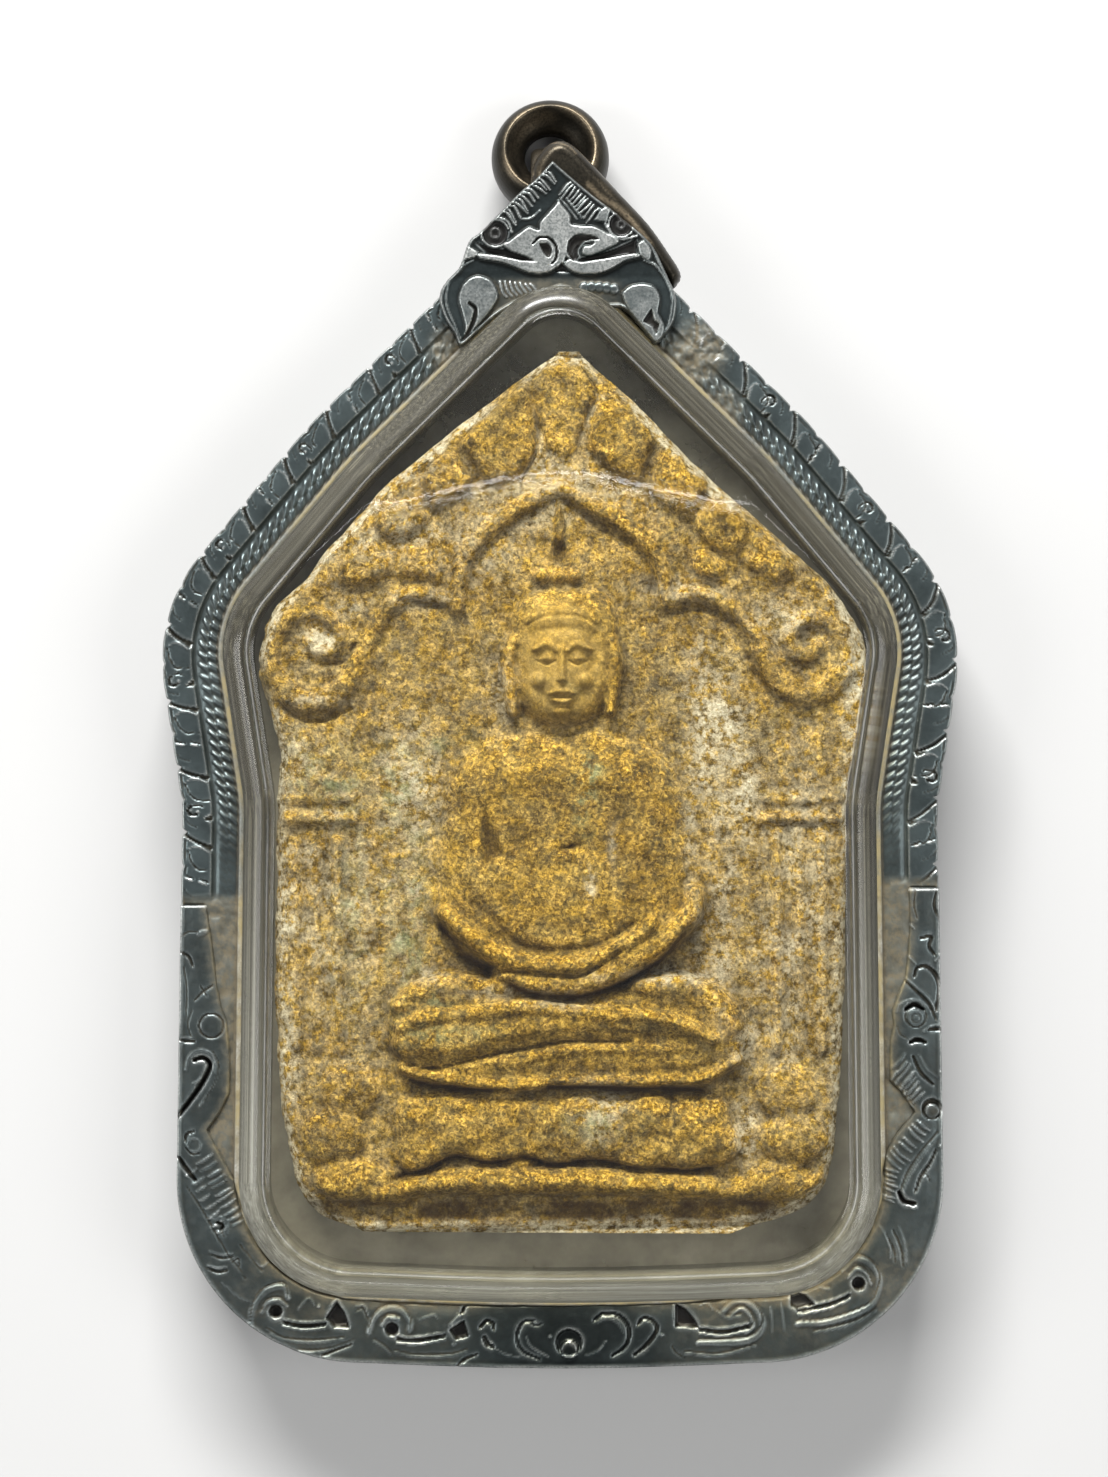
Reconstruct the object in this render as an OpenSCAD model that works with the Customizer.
// Amulet pendant: a pressed tablet in a clear case, held by a silver frame with a strap hanger and a ring.
// It lies on its back. X is the width, Y the height with the ring at the top, and Z is up.

/* [Tablet] */
// Width of the tablet across its corners
tablet_w = 31.1; // [28:0.1:33]
// Height of the tablet
tablet_h = 45; // [42:0.1:47]
// Thickness of the tablet at its flat field
tablet_t = 3.45; // [3:0.05:3.6]
// Height of the figure above the field
figure_t = 1.75; // [1:0.05:1.85]

/* [Window] */
// Room between the tablet and the window's side corners
side_room = 1.95; // [1.85:0.05:2.6]
// Room between the tablet's foot and the window's base
foot_room = 3.48; // [3:0.02:4.2]
// Room between the tablet's height and the window's sharp peak
peak_room = 4.82; // [4.3:0.02:5.6]

/* [Frame] */
// Thickness of the frame, back to front
frame_h = 5.2; // [5.1:0.05:5.8]
// Width of the frame's face along the two slopes
slope_face = 2.85; // [2.5:0.05:3.4]
// Width of the frame's face along the two sides
side_face = 3.2; // [2.9:0.05:3.8]
// Width of the frame's face along the base
base_face = 3.5; // [3.1:0.05:4.2]
// Thickness of the front and back flanges
flange_t = 0.8; // [0.6:0.05:1]
// Thickness of the outer wall
wall_t = 0.9; // [0.6:0.05:1.1]
// Height of the lip round the window
lip_h = 0.3; // [0.1:0.05:0.6]
// Height of the cast relief
relief_h = 0.28; // [0.15:0.01:0.4]
// Distance between the ridges of the hatched band
hatch_pitch = 0.52; // [0.44:0.02:1.2]
// Distance between the leaves of the outer band
leaf_pitch = 3.6; // [2.8:0.05:4.6]
// Thickness of the plate over the lower part of the face
plate_t = 0.3; // [0.15:0.01:0.5]

/* [Clear case] */
// Wall of the clear case
case_wall = 1.1; // [0.9:0.05:1.15]
// Thickness of the clear back
back_t = 1.1; // [0.8:0.05:1.3]
// Height of the dome's rim above the table
dome_z = 8.6; // [8.4:0.1:10]
// Rise of the dome from its rim to its middle
crown = 0.4; // [0.1:0.05:0.8]
// Radius of the dome's rounded edge
dome_edge = 1.3; // [1:0.05:1.6]
// Width of the foot that the frame holds
foot_w = 1.5; // [1:0.05:1.6]

/* [Hanger] */
// Width of the hanger's leaf
leaf_w = 12.1; // [11:0.1:13]
// Height of the hanger's leaf
leaf_h = 9.2; // [8.8:0.1:9.8]
// Thickness of the hanger's leaf
leaf_t = 0.9; // [0.6:0.05:1.2]
// Thickness of the strap that holds the ring
strap_t = 0.9; // [0.75:0.05:0.9]
// Width of the strap inside the ring
strap_w = 2; // [1.4:0.05:2.1]

/* [Ring] */
// Outer diameter of the ring
ring_d = 6.1; // [5.8:0.1:6.3]
// Diameter of the ring's hole
ring_hole = 2.66; // [2.6:0.02:2.9]
// Thickness of the ring along its axis
ring_t = 3; // [2.6:0.05:3]
// Distance of the ring and strap from the middle of the pendant
ring_side = 0.5; // [0:0.05:0.8]

/* [Hidden] */

// Distance between pieces that touch on the real pendant
gap = 0.05;
// Gap between the clear case and the metal round it
win_gap = 0.12;
// Largest turn between two points of a rounded corner, in degrees
arc_step = 6;
// How deep a raised shape is rooted in what carries it
root = 0.1;

// Corners of the window, clockwise from its peak
// Columns: x as a share of the width, y as a share of the height, radius as a share of the width
WINDOW = [
    [0, 1, 0.114],
    [0.3029, 0.8049, 0.57],
    [0.5, 0.6512, 0.157],
    [0.46, 0.4767, 0.286],
    [0.47, 0.0105, 0.171],
    [0, -0.0023, 4.3],
];
// Which width each side of the face takes, clockwise: 0 slope, 1 side, 2 base
FACE_OF = [0, 0, 1, 1, 2, 2, 1, 1, 0, 0];

// Corners of the tablet, in the same columns
TABLET = [
    [0, 1.0156, 0.051],
    [0.502, 0.691, 0.113],
    [0.5, 0.59, 0.064],
    [0.463, 0.528, 0.08],
    [0.476, 0.363, 0.9],
    [0.446, 0, 0.116],
];

// Hanger's leaf, its right half from the peak to the notch over the window
// Columns: x as a share of the leaf's width, y as a share of its height
LEAF = [
    [0, 1], [0.072, 0.905], [0.202, 0.766], [0.277, 0.668], [0.351, 0.57], [0.4, 0.46],
    [0.452, 0.4], [0.486, 0.33], [0.5, 0.26], [0.495, 0.18], [0.474, 0.1], [0.446, 0.04], [0.413, 0],
    [0.38, 0.03], [0.347, 0.081], [0.269, 0.184], [0.182, 0.24], [0.09, 0.3], [0, 0.33],
];
// Flame in the middle of the leaf, in the same columns
FLAME = [
    [-0.004, 0.788], [0.041, 0.668], [0.132, 0.63], [0.256, 0.533], [0.107, 0.467],
    [0, 0.495], [-0.107, 0.462], [-0.256, 0.533], [-0.14, 0.636], [-0.074, 0.647],
];
// Band under the flame, its right half
BAND = [
    [-0.01, 0.46], [0.083, 0.44], [0.198, 0.462], [0.322, 0.484], [0.29, 0.44], [0.18, 0.4],
    [0.099, 0.375], [0.04, 0.39], [-0.01, 0.43],
];
// Drop in the right lobe
DROP = [
    [0.355, 0.353], [0.3, 0.33], [0.264, 0.266], [0.297, 0.19], [0.355, 0.114], [0.39, 0.07],
    [0.4, 0.125], [0.388, 0.212], [0.42, 0.2], [0.43, 0.277], [0.408, 0.33],
];

// Shares of the face's width, from the window outwards, at which its bands end
lip_share = 0.07;
hatch_share = 0.4;
wire_share = 0.47;
plate_share = 0.36;

// The window follows the tablet
win_w = tablet_w + 2 * side_room;
win_h = tablet_h + foot_room + peak_room;

// Heights
channel_top = frame_h - flange_t;
back_z = flange_t + gap;
foot_z = back_z + back_t + gap;
plate_z = frame_h + plate_t;

// Plane geometry
function unit(v) = v / norm(v);
function outward(v) = [-v.y, v.x];
function turn_of(a, b) = a.x * b.y - a.y * b.x;
function clamp(v, low, high) = min(max(v, low), high);
function sized(table, w, h, y) = [for (c = table) [c.x * w, c.y * h + y, len(c) > 2 ? c[2] * w : 0]];

// A right half with its mirror image, as one closed list; last is the last corner that is mirrored
function both_sides(half, last) = concat(half, [for (i = [last:-1:1]) [-half[i].x, half[i].y, half[i][2]]]);

// Corners moved outwards, each side by its own distance; the radii follow
function grown(corners, d) = let (n = len(corners)) [
    for (i = [0:n - 1]) let (
        p = [corners[i].x, corners[i].y],
        before = corners[(i + n - 1) % n],
        after = corners[(i + 1) % n],
        n0 = outward(unit(p - [before.x, before.y])),
        n1 = outward(unit([after.x, after.y] - p)),
        d0 = d[(i + n - 1) % n],
        d1 = d[i],
        t = turn_of(n0, n1),
        q = p + (d0 * [n1.y, -n1.x] + d1 * [-n0.y, n0.x]) / t
    ) [q.x, q.y, corners[i][2] + (t < 0 ? 1 : -1) * (d0 + d1) / 2]
];

// Points of one rounded corner
function corner_arc(before, at, after, r) = let (
    u = unit(before - at),
    w = unit(after - at),
    half = acos(clamp(u * w, -1, 1)) / 2,
    turn = 180 - 2 * half,
    middle = at + unit(u + w) * r / sin(half),
    from = at + u * r / tan(half) - middle,
    to = at + w * r / tan(half) - middle,
    n = max(2, ceil(turn / arc_step))
) [for (k = [0:n]) middle + (from * sin((1 - k / n) * turn) + to * sin(k / n * turn)) / sin(turn)];

// Closed outline through rounded corners
function rounded(corners) = let (n = len(corners)) [
    for (i = [0:n - 1]) let (
        a = corners[(i + n - 1) % n],
        b = corners[i],
        c = corners[(i + 1) % n]
    ) each corner_arc([a.x, a.y], [b.x, b.y], [c.x, c.y], b[2])
];

// Distances along an open path, and the place and direction at one distance
function runs(path) = [
    for (i = 0, s = 0; i < len(path); s = s + norm(path[min(i + 1, len(path) - 1)] - path[i]), i = i + 1) s
];
function spot(path, run, s) = let (
    i = max([for (j = [0:len(path) - 2]) if (run[j] <= s) j]),
    step = path[i + 1] - path[i]
) [path[i] + step * (s - run[i]) / norm(step), atan2(step.y, step.x)];

// Window outline moved outwards by one distance, or by a share of the face's widths less an inset
window_corners = both_sides(sized(WINDOW, win_w, win_h, base_face), len(WINDOW) - 2);
function edge(d) = rounded(grown(window_corners, [for (f = FACE_OF) d]));
function face(share, inset = 0) = let (widths = [slope_face, side_face, base_face])
    rounded(grown(window_corners, [for (f = FACE_OF) share * widths[f] - inset]));
function right_half(path) = [for (p = path) if (p.x >= -0.001) p];
peak_y = max([for (p = edge(0)) p.y]);

// Tablet outline and place
tablet_y = base_face + foot_room;
// The tablet sits a little to the right
tablet_side = 0.1;
tablet_outline = rounded(both_sides(sized(TABLET, tablet_w, tablet_h, tablet_y), len(TABLET) - 1));

// Hanger: foot of its leaf, and the middle of the strap's bend, on which the ring swings
leaf_notch = 0.33;
// How far the leaf's notch stands above the window's peak
leaf_clear = 0.15;
leaf_y = peak_y + leaf_clear - leaf_notch * leaf_h;
leaf_corners = both_sides(sized(LEAF, leaf_w, leaf_h, leaf_y), len(LEAF) - 2);
hinge_y = leaf_y + 0.85 * leaf_h;
hinge_z = frame_h / 2;
bend_r = frame_h / 2 - strap_t;

// Half of the ring's section
// Columns: share of the way from the hole to the outside, share of half the thickness
RING = [
    [1, 0], [0.97, 0.36], [0.88, 0.68], [0.74, 0.9], [0.59, 1], [0.5, 0.93], [0.34, 0.68], [0.14, 0.42], [0, 0.2],
];
RIM = 4;
ring_wall = (ring_d - ring_hole) / 2;
function ring_half(side) = [for (c = RING) [ring_hole / 2 + c.x * ring_wall, side * c.y * ring_t / 2]];

// The ring leans back on its bend until its rim is just above the table
ring_reach = (ring_d + ring_hole) / 4;
ring_arm = ring_reach + ring_half(1)[RIM].x;
ring_lean = asin((hinge_z - gap) / norm([ring_arm, ring_t / 2])) - atan(ring_t / 2 / ring_arm);
ring_top = max([for (c = ring_half(1)) (ring_reach + c.x) * cos(ring_lean) + c.y * sin(ring_lean)]);

// Everything is drawn from the foot of the frame, and stands centred on the origin
total_h = hinge_y + ring_top;
module centred() {
    translate([0, -total_h / 2, 0])
        children();
}

module slab(z0, z1) {
    translate([0, 0, z0])
        linear_extrude(z1 - z0)
            children();
}

// A flat band between two outlines
module band(inner, outer, z0, z1) {
    slab(z0, z1)
        difference() {
            polygon(outer);
            polygon(inner);
        }
}

module on_side(side) {
    mirror([side < 0 ? 1 : 0, 0, 0])
        children();
}

// Upper ends of the lower plate and of the plain stretch of face beside it
function plate_end(side) = base_face + (side < 0 ? 0.38 : 0.397) * win_h;
function hatch_end(side) = base_face + (side < 0 ? 0.386 : 0.402) * win_h;
ornament_top = leaf_y - leaf_pitch / 7;

// One leaf of the outer band with its curl, drawn along X, in shares of the pitch and of the face's width
LEAF_MOTIF = [
    [-0.45, -0.047], [-0.286, 0.131], [-0.041, 0.225], [0.204, 0.206], [0.469, 0.094], [0.224, 0.088],
    [0.082, 0.016], [0.171, -0.109], [0.041, -0.194], [-0.122, -0.156], [-0.139, -0.037], [-0.253, 0.006],
];
module leaf_motif() {
    polygon([for (c = LEAF_MOTIF) [c.x * leaf_pitch, c.y * side_face]]);
}

module leaf_row(side) {
    path = right_half(face((wire_share + 1) / 2));
    run = runs(path);
    for (s = [leaf_pitch / 2:leaf_pitch:run[len(run) - 1]]) {
        at = spot(path, run, s);
        if (at[0].y < ornament_top && at[0].y > plate_end(side) + leaf_pitch / 2)
            translate(at[0])
                rotate(at[1])
                    leaf_motif();
    }
}

module hatch_row(side) {
    path = right_half(face((lip_share + hatch_share) / 2));
    run = runs(path);
    for (s = [hatch_pitch / 2:hatch_pitch:run[len(run) - 1]]) {
        at = spot(path, run, s);
        if (at[0].y < ornament_top && at[0].y > hatch_end(side))
            translate(at[0])
                rotate(at[1] + 58)
                    square([side_face * 0.33, hatch_pitch * 0.36], center = true);
    }
}

// Plate over the lower part of the face, in two halves that meet at the base
module plate_half() {
    for (side = [-1, 1])
        on_side(side)
            intersection() {
                difference() {
                    polygon(face(1));
                    polygon(face(plate_share));
                }
                translate([-root, -base_face])
                    square([win_w, plate_end(side) + base_face]);
            }
}

// A point on the face's right half: share of the way from the peak to the base, share of the face's width
function on_face(way, share) = let (path = right_half(face(share)), run = runs(path))
    spot(path, run, way * run[len(run) - 1]);

// Raised marks on the plate
// Columns: share of the way from the peak, share of the face's width, size as a share of the side's width
DISCS = [[0.66, 0.68, 0.2], [0.715, 0.64, 0.17], [0.765, 0.74, 0.15], [0.815, 0.62, 0.17]];
WAVES = [[0.872, 0.66], [0.925, 0.68]];
// Curl of a wave and one leaf of the palmette, in shares of the base's width
WAVE = [
    [-0.414, -0.129], [-0.343, 0.071], [-0.157, 0.214], [0.086, 0.229], [0.271, 0.114], [0.257, -0.014],
    [0.129, -0.043], [0.129, 0.071], [0, 0.1], [-0.157, 0.014], [-0.2, -0.129],
];
PALMETTE = [[-0.06, -0.118], [0, -0.161], [0.06, -0.118], [0.077, 0.021], [0, 0.118], [-0.077, 0.021]];

module plate_discs() {
    for (side = [-1, 1], row = DISCS)
        on_side(side)
            translate(on_face(row.x, row.y)[0])
                difference() {
                    circle(r = row[2] * side_face, $fn = 24);
                    circle(r = row[2] * side_face * 0.55, $fn = 24);
                }
}

module plate_waves() {
    for (side = [-1, 1], row = WAVES)
        on_side(side) {
            at = on_face(row.x, row.y);
            translate(at[0])
                rotate(at[1])
                    polygon(base_face * WAVE);
        }
}

module palmette() {
    translate([0, base_face * 0.36]) {
        circle(r = base_face * 0.11, $fn = 24);
        for (k = [-3:3])
            rotate(k * 27)
                translate([0, base_face * 0.3])
                    polygon(base_face * PALMETTE);
    }
}

// Pierced holes along the base
// Columns: x as a share of the window's width, y and radius as shares of the base's width
HOLES = [
    [-0.414, 0.84, 0.086], [-0.323, 0.74, 0.114], [-0.246, 0.54, 0.1], [-0.149, 0.58, 0.114],
    [0.183, 0.76, 0.114], [0.352, 0.95, 0.114], [0.437, 1.24, 0.086],
];

module pierced_holes() {
    for (row = HOLES)
        translate([row.x * win_w, row.y * base_face, channel_top - gap])
            cylinder(h = frame_h, r = row[2] * base_face, $fn = 24);
}

// Ornament of the hanger's leaf: rim, flame with two volutes, band, drops, eyes and ridges
module leaf_ornament() {
    inner = grown(leaf_corners, [for (p = leaf_corners) -relief_h]);
    difference() {
        polygon([for (p = leaf_corners) [p.x, p.y]]);
        polygon([for (p = inner) [p.x, p.y]]);
    }
    difference() {
        polygon([for (c = FLAME) [c.x * leaf_w, c.y * leaf_h + leaf_y]]);
        for (side = [-1, 1])
            translate([side * 0.075 * leaf_w, leaf_y + 0.54 * leaf_h])
                circle(r = 0.034 * leaf_w, $fn = 24);
    }
    for (side = [-1, 1])
        on_side(side) {
            polygon([for (c = BAND) [c.x * leaf_w, c.y * leaf_h + leaf_y]]);
            polygon([for (c = DROP) [c.x * leaf_w, c.y * leaf_h + leaf_y]]);
            translate([0.262 * leaf_w, leaf_y + 0.62 * leaf_h])
                difference() {
                    circle(r = 0.042 * leaf_w, $fn = 24);
                    circle(r = 0.02 * leaf_w, $fn = 24);
                }
            for (k = [0:5])
                translate([(0.05 + 0.026 * k) * leaf_w, leaf_y + (0.89 - 0.036 * k) * leaf_h])
                    rotate(25)
                        square([leaf_w * 0.07, leaf_h * 0.02], center = true);
        }
}

// The strap's front part reaches past the leaf on the right; its back part is plain and a little narrower
// Columns: x and y from the middle of the bend, in strap widths
STRAP_FRONT = [[-0.5, 0], [-0.45, 0.5], [-0.1, 0.8], [0.35, 0.98], [0.6, 0.85], [1.4, 0.15], [3.28, -2]];
STRAP_BACK = [[-0.5, 0], [0.5, 0], [2.9, -2.1]];
strap_foot_y = peak_y - 0.5 * strap_w;

module strap_plate(table, foot_x, z0) {
    slab(z0, z0 + strap_t)
        difference() {
            polygon(concat(
                [for (c = table) [c.x * strap_w - ring_side, c.y * strap_w + hinge_y]],
                [[foot_x, strap_foot_y], [-foot_x, strap_foot_y], [-foot_x, strap_foot_y + leaf_h * 0.12]]
            ));
            polygon(edge(0));
        }
}

module strap_bend() {
    translate([-ring_side, hinge_y, hinge_z])
        rotate([0, 90, 0])
            rotate_extrude(angle = 180, $fn = 96)
                translate([bend_r, -strap_w / 2])
                    square([strap_t, strap_w]);
}

module hanger() {
    leaf = [for (p = leaf_corners) [p.x, p.y]];
    slab(frame_h - root, frame_h + leaf_t)
        polygon(leaf);
    slab(frame_h + leaf_t - root, frame_h + leaf_t + relief_h)
        leaf_ornament();
    strap_plate(STRAP_FRONT, leaf_w * 0.46, frame_h - strap_t);
    strap_plate(STRAP_BACK, leaf_w * 0.42, 0);
    strap_bend();
}

module case_frame() {
    color([0.30, 0.33, 0.35])
        centred() {
            difference() {
                union() {
                    band(edge(0), face(1), 0, flange_t);
                    band(face(1, wall_t), face(1), 0, frame_h);
                    band(edge(0), face(1), channel_top, frame_h);
                    band(edge(0), face(lip_share), frame_h - root, frame_h + lip_h);
                    band(face(hatch_share), face(wire_share), frame_h - root, frame_h + relief_h);
                    slab(frame_h - root, frame_h + relief_h) {
                        for (side = [-1, 1])
                            on_side(side) {
                                leaf_row(side);
                                hatch_row(side);
                            }
                    }
                    slab(frame_h - root, plate_z)
                        plate_half();
                    slab(plate_z - root, plate_z + relief_h) {
                        plate_discs();
                        plate_waves();
                        palmette();
                    }
                }
                pierced_holes();
            }
            hanger();
        }
}

// Closed solid from rings of equally many points; the first and last ring are capped
module stack(rings) {
    n = len(rings[0]);
    last = len(rings) - 1;
    walls = [
        for (j = [0:last - 1], i = [0:n - 1]) let (k = (i + 1) % n)
            each [[j * n + i, j * n + k, (j + 1) * n + k], [j * n + i, (j + 1) * n + k, (j + 1) * n + i]]
    ];
    polyhedron(
        points = [for (ring = rings) each ring],
        faces = concat(walls, [[for (i = [n - 1:-1:0]) i]], [[for (i = [0:n - 1]) last * n + i]]),
        convexity = 6
    );
}

function level(outline, z) = [for (p = outline) [p.x, p.y, z]];
dome_middle = [0, base_face + win_h * 0.45];
function shrunk(outline, t, z) = [
    for (p = outline) [dome_middle.x + (p.x - dome_middle.x) * t, dome_middle.y + (p.y - dome_middle.y) * t, z]
];

// One skin of the dome, from the rim upwards: side wall, rounded edge and crowned top
// out is how far the wall stands outside the window's outline, top the height of the rim, r the edge's radius
function dome_skin(out, top, r) = concat(
    [for (a = [0, 22.5, 45, 67.5, 90]) level(edge(out - r * (1 - cos(a))), top - r * (1 - sin(a)))],
    [for (t = [0.75, 0.5, 0.25]) shrunk(edge(out - r), t, top + crown * (1 - t * t))]
);
function backwards(list) = [for (i = [len(list) - 1:-1:0]) list[i]];

module front_window() {
    inner = backwards(dome_skin(-win_gap - case_wall, dome_z - case_wall, dome_edge - case_wall * 0.6));
    outer = dome_skin(-win_gap, dome_z, dome_edge);
    foot = [
        level(edge(-win_gap - case_wall), foot_z),
        level(edge(foot_w), foot_z),
        level(edge(foot_w), channel_top - gap),
        level(edge(-win_gap), channel_top - gap),
    ];
    color([0.80, 0.80, 0.74, 0.35])
        centred()
            stack(concat(inner, foot, outer));
}

module back_window() {
    color([0.80, 0.80, 0.74, 0.35])
        centred()
            slab(back_z, back_z + back_t)
                polygon(edge(foot_w));
}

// Tablet relief. Places and lengths are shares of the tablet's height, x from its middle and y from its foot;
// heights are shares of the figure's height
aspect = tablet_w / tablet_h;
DRAWN_ASPECT = 0.691;

// Bowed ridges: start x, start y, end x, end y, bow, half width, height
ARCHES = [
    [-0.131, 0.728, -0.004, 0.846, 0.033, 0.015, 0.34], [0.122, 0.722, -0.004, 0.846, -0.033, 0.015, 0.34],
    [-0.224, 0.668, -0.128, 0.728, 0.024, 0.015, 0.36], [0.224, 0.66, 0.112, 0.72, -0.026, 0.015, 0.36],
    [-0.131, 0.728, -0.136, 0.64, 0, 0.012, 0.14], [0.122, 0.722, 0.128, 0.64, 0, 0.012, 0.14],
    [-0.272, 0.706, -0.33, 0.64, 0.024, 0.016, 0.4], [-0.33, 0.64, -0.268, 0.596, 0.024, 0.016, 0.4],
    [0.262, 0.706, 0.318, 0.64, -0.024, 0.016, 0.4], [0.318, 0.64, 0.258, 0.594, -0.024, 0.016, 0.4],
    [-0.268, 0.596, -0.232, 0.65, 0.014, 0.013, 0.34], [0.258, 0.594, 0.224, 0.645, -0.014, 0.013, 0.34],
];
ARMS = [
    [-0.112, 0.515, -0.122, 0.372, 0.006, 0.036, 0.84], [0.114, 0.512, 0.126, 0.368, -0.006, 0.036, 0.84],
    [-0.13, 0.36, 0.005, 0.299, -0.018, 0.03, 1], [0.132, 0.356, 0, 0.31, 0.016, 0.03, 1],
];
LEGS = [
    [-0.165, 0.236, 0.06, 0.226, 0.01, 0.054, 0.78], [0.155, 0.232, -0.06, 0.225, -0.01, 0.054, 0.8],
    [-0.16, 0.2, 0.12, 0.19, -0.006, 0.034, 0.74], [0.15, 0.2, -0.02, 0.216, -0.006, 0.034, 0.88],
];
// Lumps: middle x, middle y, half length, half width, turn, height, squareness
PETALS = [
    [-0.003, 0.922, 0.05, 0.022, 90, 0.3, 2], [0.052, 0.906, 0.055, 0.028, 68, 0.36, 2],
    [-0.066, 0.908, 0.055, 0.028, 112, 0.36, 2], [0.118, 0.868, 0.06, 0.032, 50, 0.42, 2],
    [-0.126, 0.872, 0.058, 0.03, 130, 0.36, 2], [0.18, 0.815, 0.06, 0.03, 38, 0.42, 2],
    [-0.184, 0.82, 0.058, 0.028, 142, 0.34, 2], [-0.236, 0.762, 0.052, 0.024, 145, 0.3, 2],
    [0.24, 0.765, 0.05, 0.024, 35, 0.3, 2],
];
FIGURE = [
    [0, 0.46, 0.115, 0.155, 0, 0.72, 3], [-0.085, 0.53, 0.055, 0.042, 20, 0.78, 2], [0.085, 0.53, 0.055, 0.042, -20, 0.78, 2],
    [-0.003, 0.655, 0.056, 0.082, 0, 0.8, 2], [-0.003, 0.642, 0.044, 0.066, 0, 0.97, 2], [-0.006, 0.775, 0.014, 0.055, 0, 0.42, 2],
];
SEAT = [
    [-0.004, 0.118, 0.192, 0.042, 0, 0.66, 6], [-0.008, 0.056, 0.228, 0.02, 0, 0.7, 5],
    [-0.24, 0.112, 0.046, 0.062, 0, 0.5, 3], [0.245, 0.112, 0.046, 0.062, 0, 0.5, 3],
    [-0.276, 0.662, 0.022, 0.022, 0, 0.36, 2], [0.258, 0.66, 0.022, 0.022, 0, 0.36, 2],
];
// Pillars on both sides: x of the middle, half the spread of their ribs, foot, top, and the lines of the capital
PILLAR_X = 0.272;
PILLAR_RIB = 0.022;
PILLAR_Y = [0.215, 0.452];
CAPITAL_Y = [0.472, 0.494];

function fall(d, w) = let (k = clamp(1 - d * d / (w * w), 0, 1)) k * k;
function ridge(p, row) = let (
    a = [row[0], row[1]],
    along = [row[2], row[3]] - a,
    t = clamp((p - a) * along / (along * along), 0, 1),
    q = a + t * along + 4 * row[4] * t * (1 - t) * outward(unit(along))
) row[6] * fall(norm(p - q), row[5]);
function lump(p, row) = let (
    v = p - [row[0], row[1]],
    across = abs(v.x * cos(row[4]) + v.y * sin(row[4])) / row[2],
    up = abs(v.y * cos(row[4]) - v.x * sin(row[4])) / row[3],
    k = 1 - pow(across, row[6]) - pow(up, row[6])
) k > 0 ? row[5] * sqrt(k) : 0;
function ridges(p, rows) = max([for (row = rows) ridge(p, row)]);
function lumps(p, rows) = max([for (row = rows) lump(p, row)]);
function pillars(p) = let (q = [abs(p.x), p.y]) max(
    max([for (k = [-1:1]) ridge(q, [PILLAR_X + k * PILLAR_RIB, PILLAR_Y[0], PILLAR_X + k * PILLAR_RIB, PILLAR_Y[1], 0, 0.014, 0.34])]),
    max([for (y = CAPITAL_Y) ridge(q, [PILLAR_X - PILLAR_RIB * 1.5, y, PILLAR_X + PILLAR_RIB * 1.5, y, 0, 0.012, 0.36])]),
    lump(q, [PILLAR_X - 0.002, 0.537, 0.03, 0.026, 0, 0.28, 2])
);
function carved(p) = max(
    ridges(p, ARCHES), ridges(p, ARMS), ridges(p, LEGS),
    lumps(p, PETALS), lumps(p, FIGURE), lumps(p, SEAT), pillars(p)
);

// Rows of points across the tablet, from its foot to its peak
rows = 76;
columns = 48;
edge_drop = 0.8;
edge_round = 1.1;
tablet_half = [for (p = right_half(tablet_outline)) p];
tablet_peak = max([for (p = tablet_outline) p.y]) - edge_round / 9;
function half_width(y) = max([
    for (i = [0:len(tablet_half) - 2]) let (a = tablet_half[i], b = tablet_half[i + 1])
        if (min(a.y, b.y) <= y && max(a.y, b.y) >= y && abs(a.y - b.y) > 0.0001)
            a.x + (b.x - a.x) * (y - a.y) / (b.y - a.y)
]);
function face_height(x, y, half) = let (
    near = min(half - abs(x), y - tablet_y, (tablet_peak - y) / 2 + edge_round / 11),
    p = [x / tablet_w * DRAWN_ASPECT, (y - tablet_y) / tablet_h]
) tablet_t + figure_t * carved(p) * clamp(near / edge_round, 0, 1) - edge_drop * pow(1 - clamp(near / edge_round, 0, 1), 2);

module tablet() {
    wide = columns + 1;
    low = tablet_y + edge_round / 100;
    top = [
        for (j = [0:rows]) let (y = low + (tablet_peak - low) * j / rows, half = half_width(y))
            for (i = [0:columns]) let (x = half * (2 * i / columns - 1))
                [x + tablet_side, y, foot_z + face_height(x, y, half)]
    ];
    border = concat(
        [for (j = [0:rows]) j * wide],
        [for (i = [1:columns]) rows * wide + i],
        [for (j = [rows - 1:-1:0]) j * wide + columns],
        [for (i = [columns - 1:-1:1]) i]
    );
    n = len(border);
    first = len(top);
    grid = [
        for (j = [0:rows - 1], i = [0:columns - 1]) let (a = j * wide + i)
            each [[a, a + wide, a + wide + 1], [a, a + wide + 1, a + 1]]
    ];
    sides = [
        for (i = [0:n - 1]) let (k = (i + 1) % n)
            each [[first + i, first + k, border[k]], [first + i, border[k], border[i]]]
    ];
    foot = [for (i = [0:n - 1]) [first + n, first + (i + 1) % n, first + i]];
    middle = [tablet_side, tablet_y + tablet_h * 0.5, foot_z];
    color([0.62, 0.46, 0.22])
        centred()
            polyhedron(
                points = concat(top, [for (b = border) [top[b].x, top[b].y, foot_z]], [middle]),
                faces = concat(grid, sides, foot),
                convexity = 6
            );
}

module ring() {
    color([0.19, 0.17, 0.15])
        centred()
            translate([-ring_side, hinge_y, hinge_z])
                rotate([-ring_lean, 0, 0])
                    translate([0, ring_reach, 0])
                        rotate_extrude($fn = 96)
                            polygon(concat(ring_half(1), backwards([for (c = ring_half(-1)) if (c.y < 0) c])));
}

case_frame();
front_window();
back_window();
tablet();
ring();
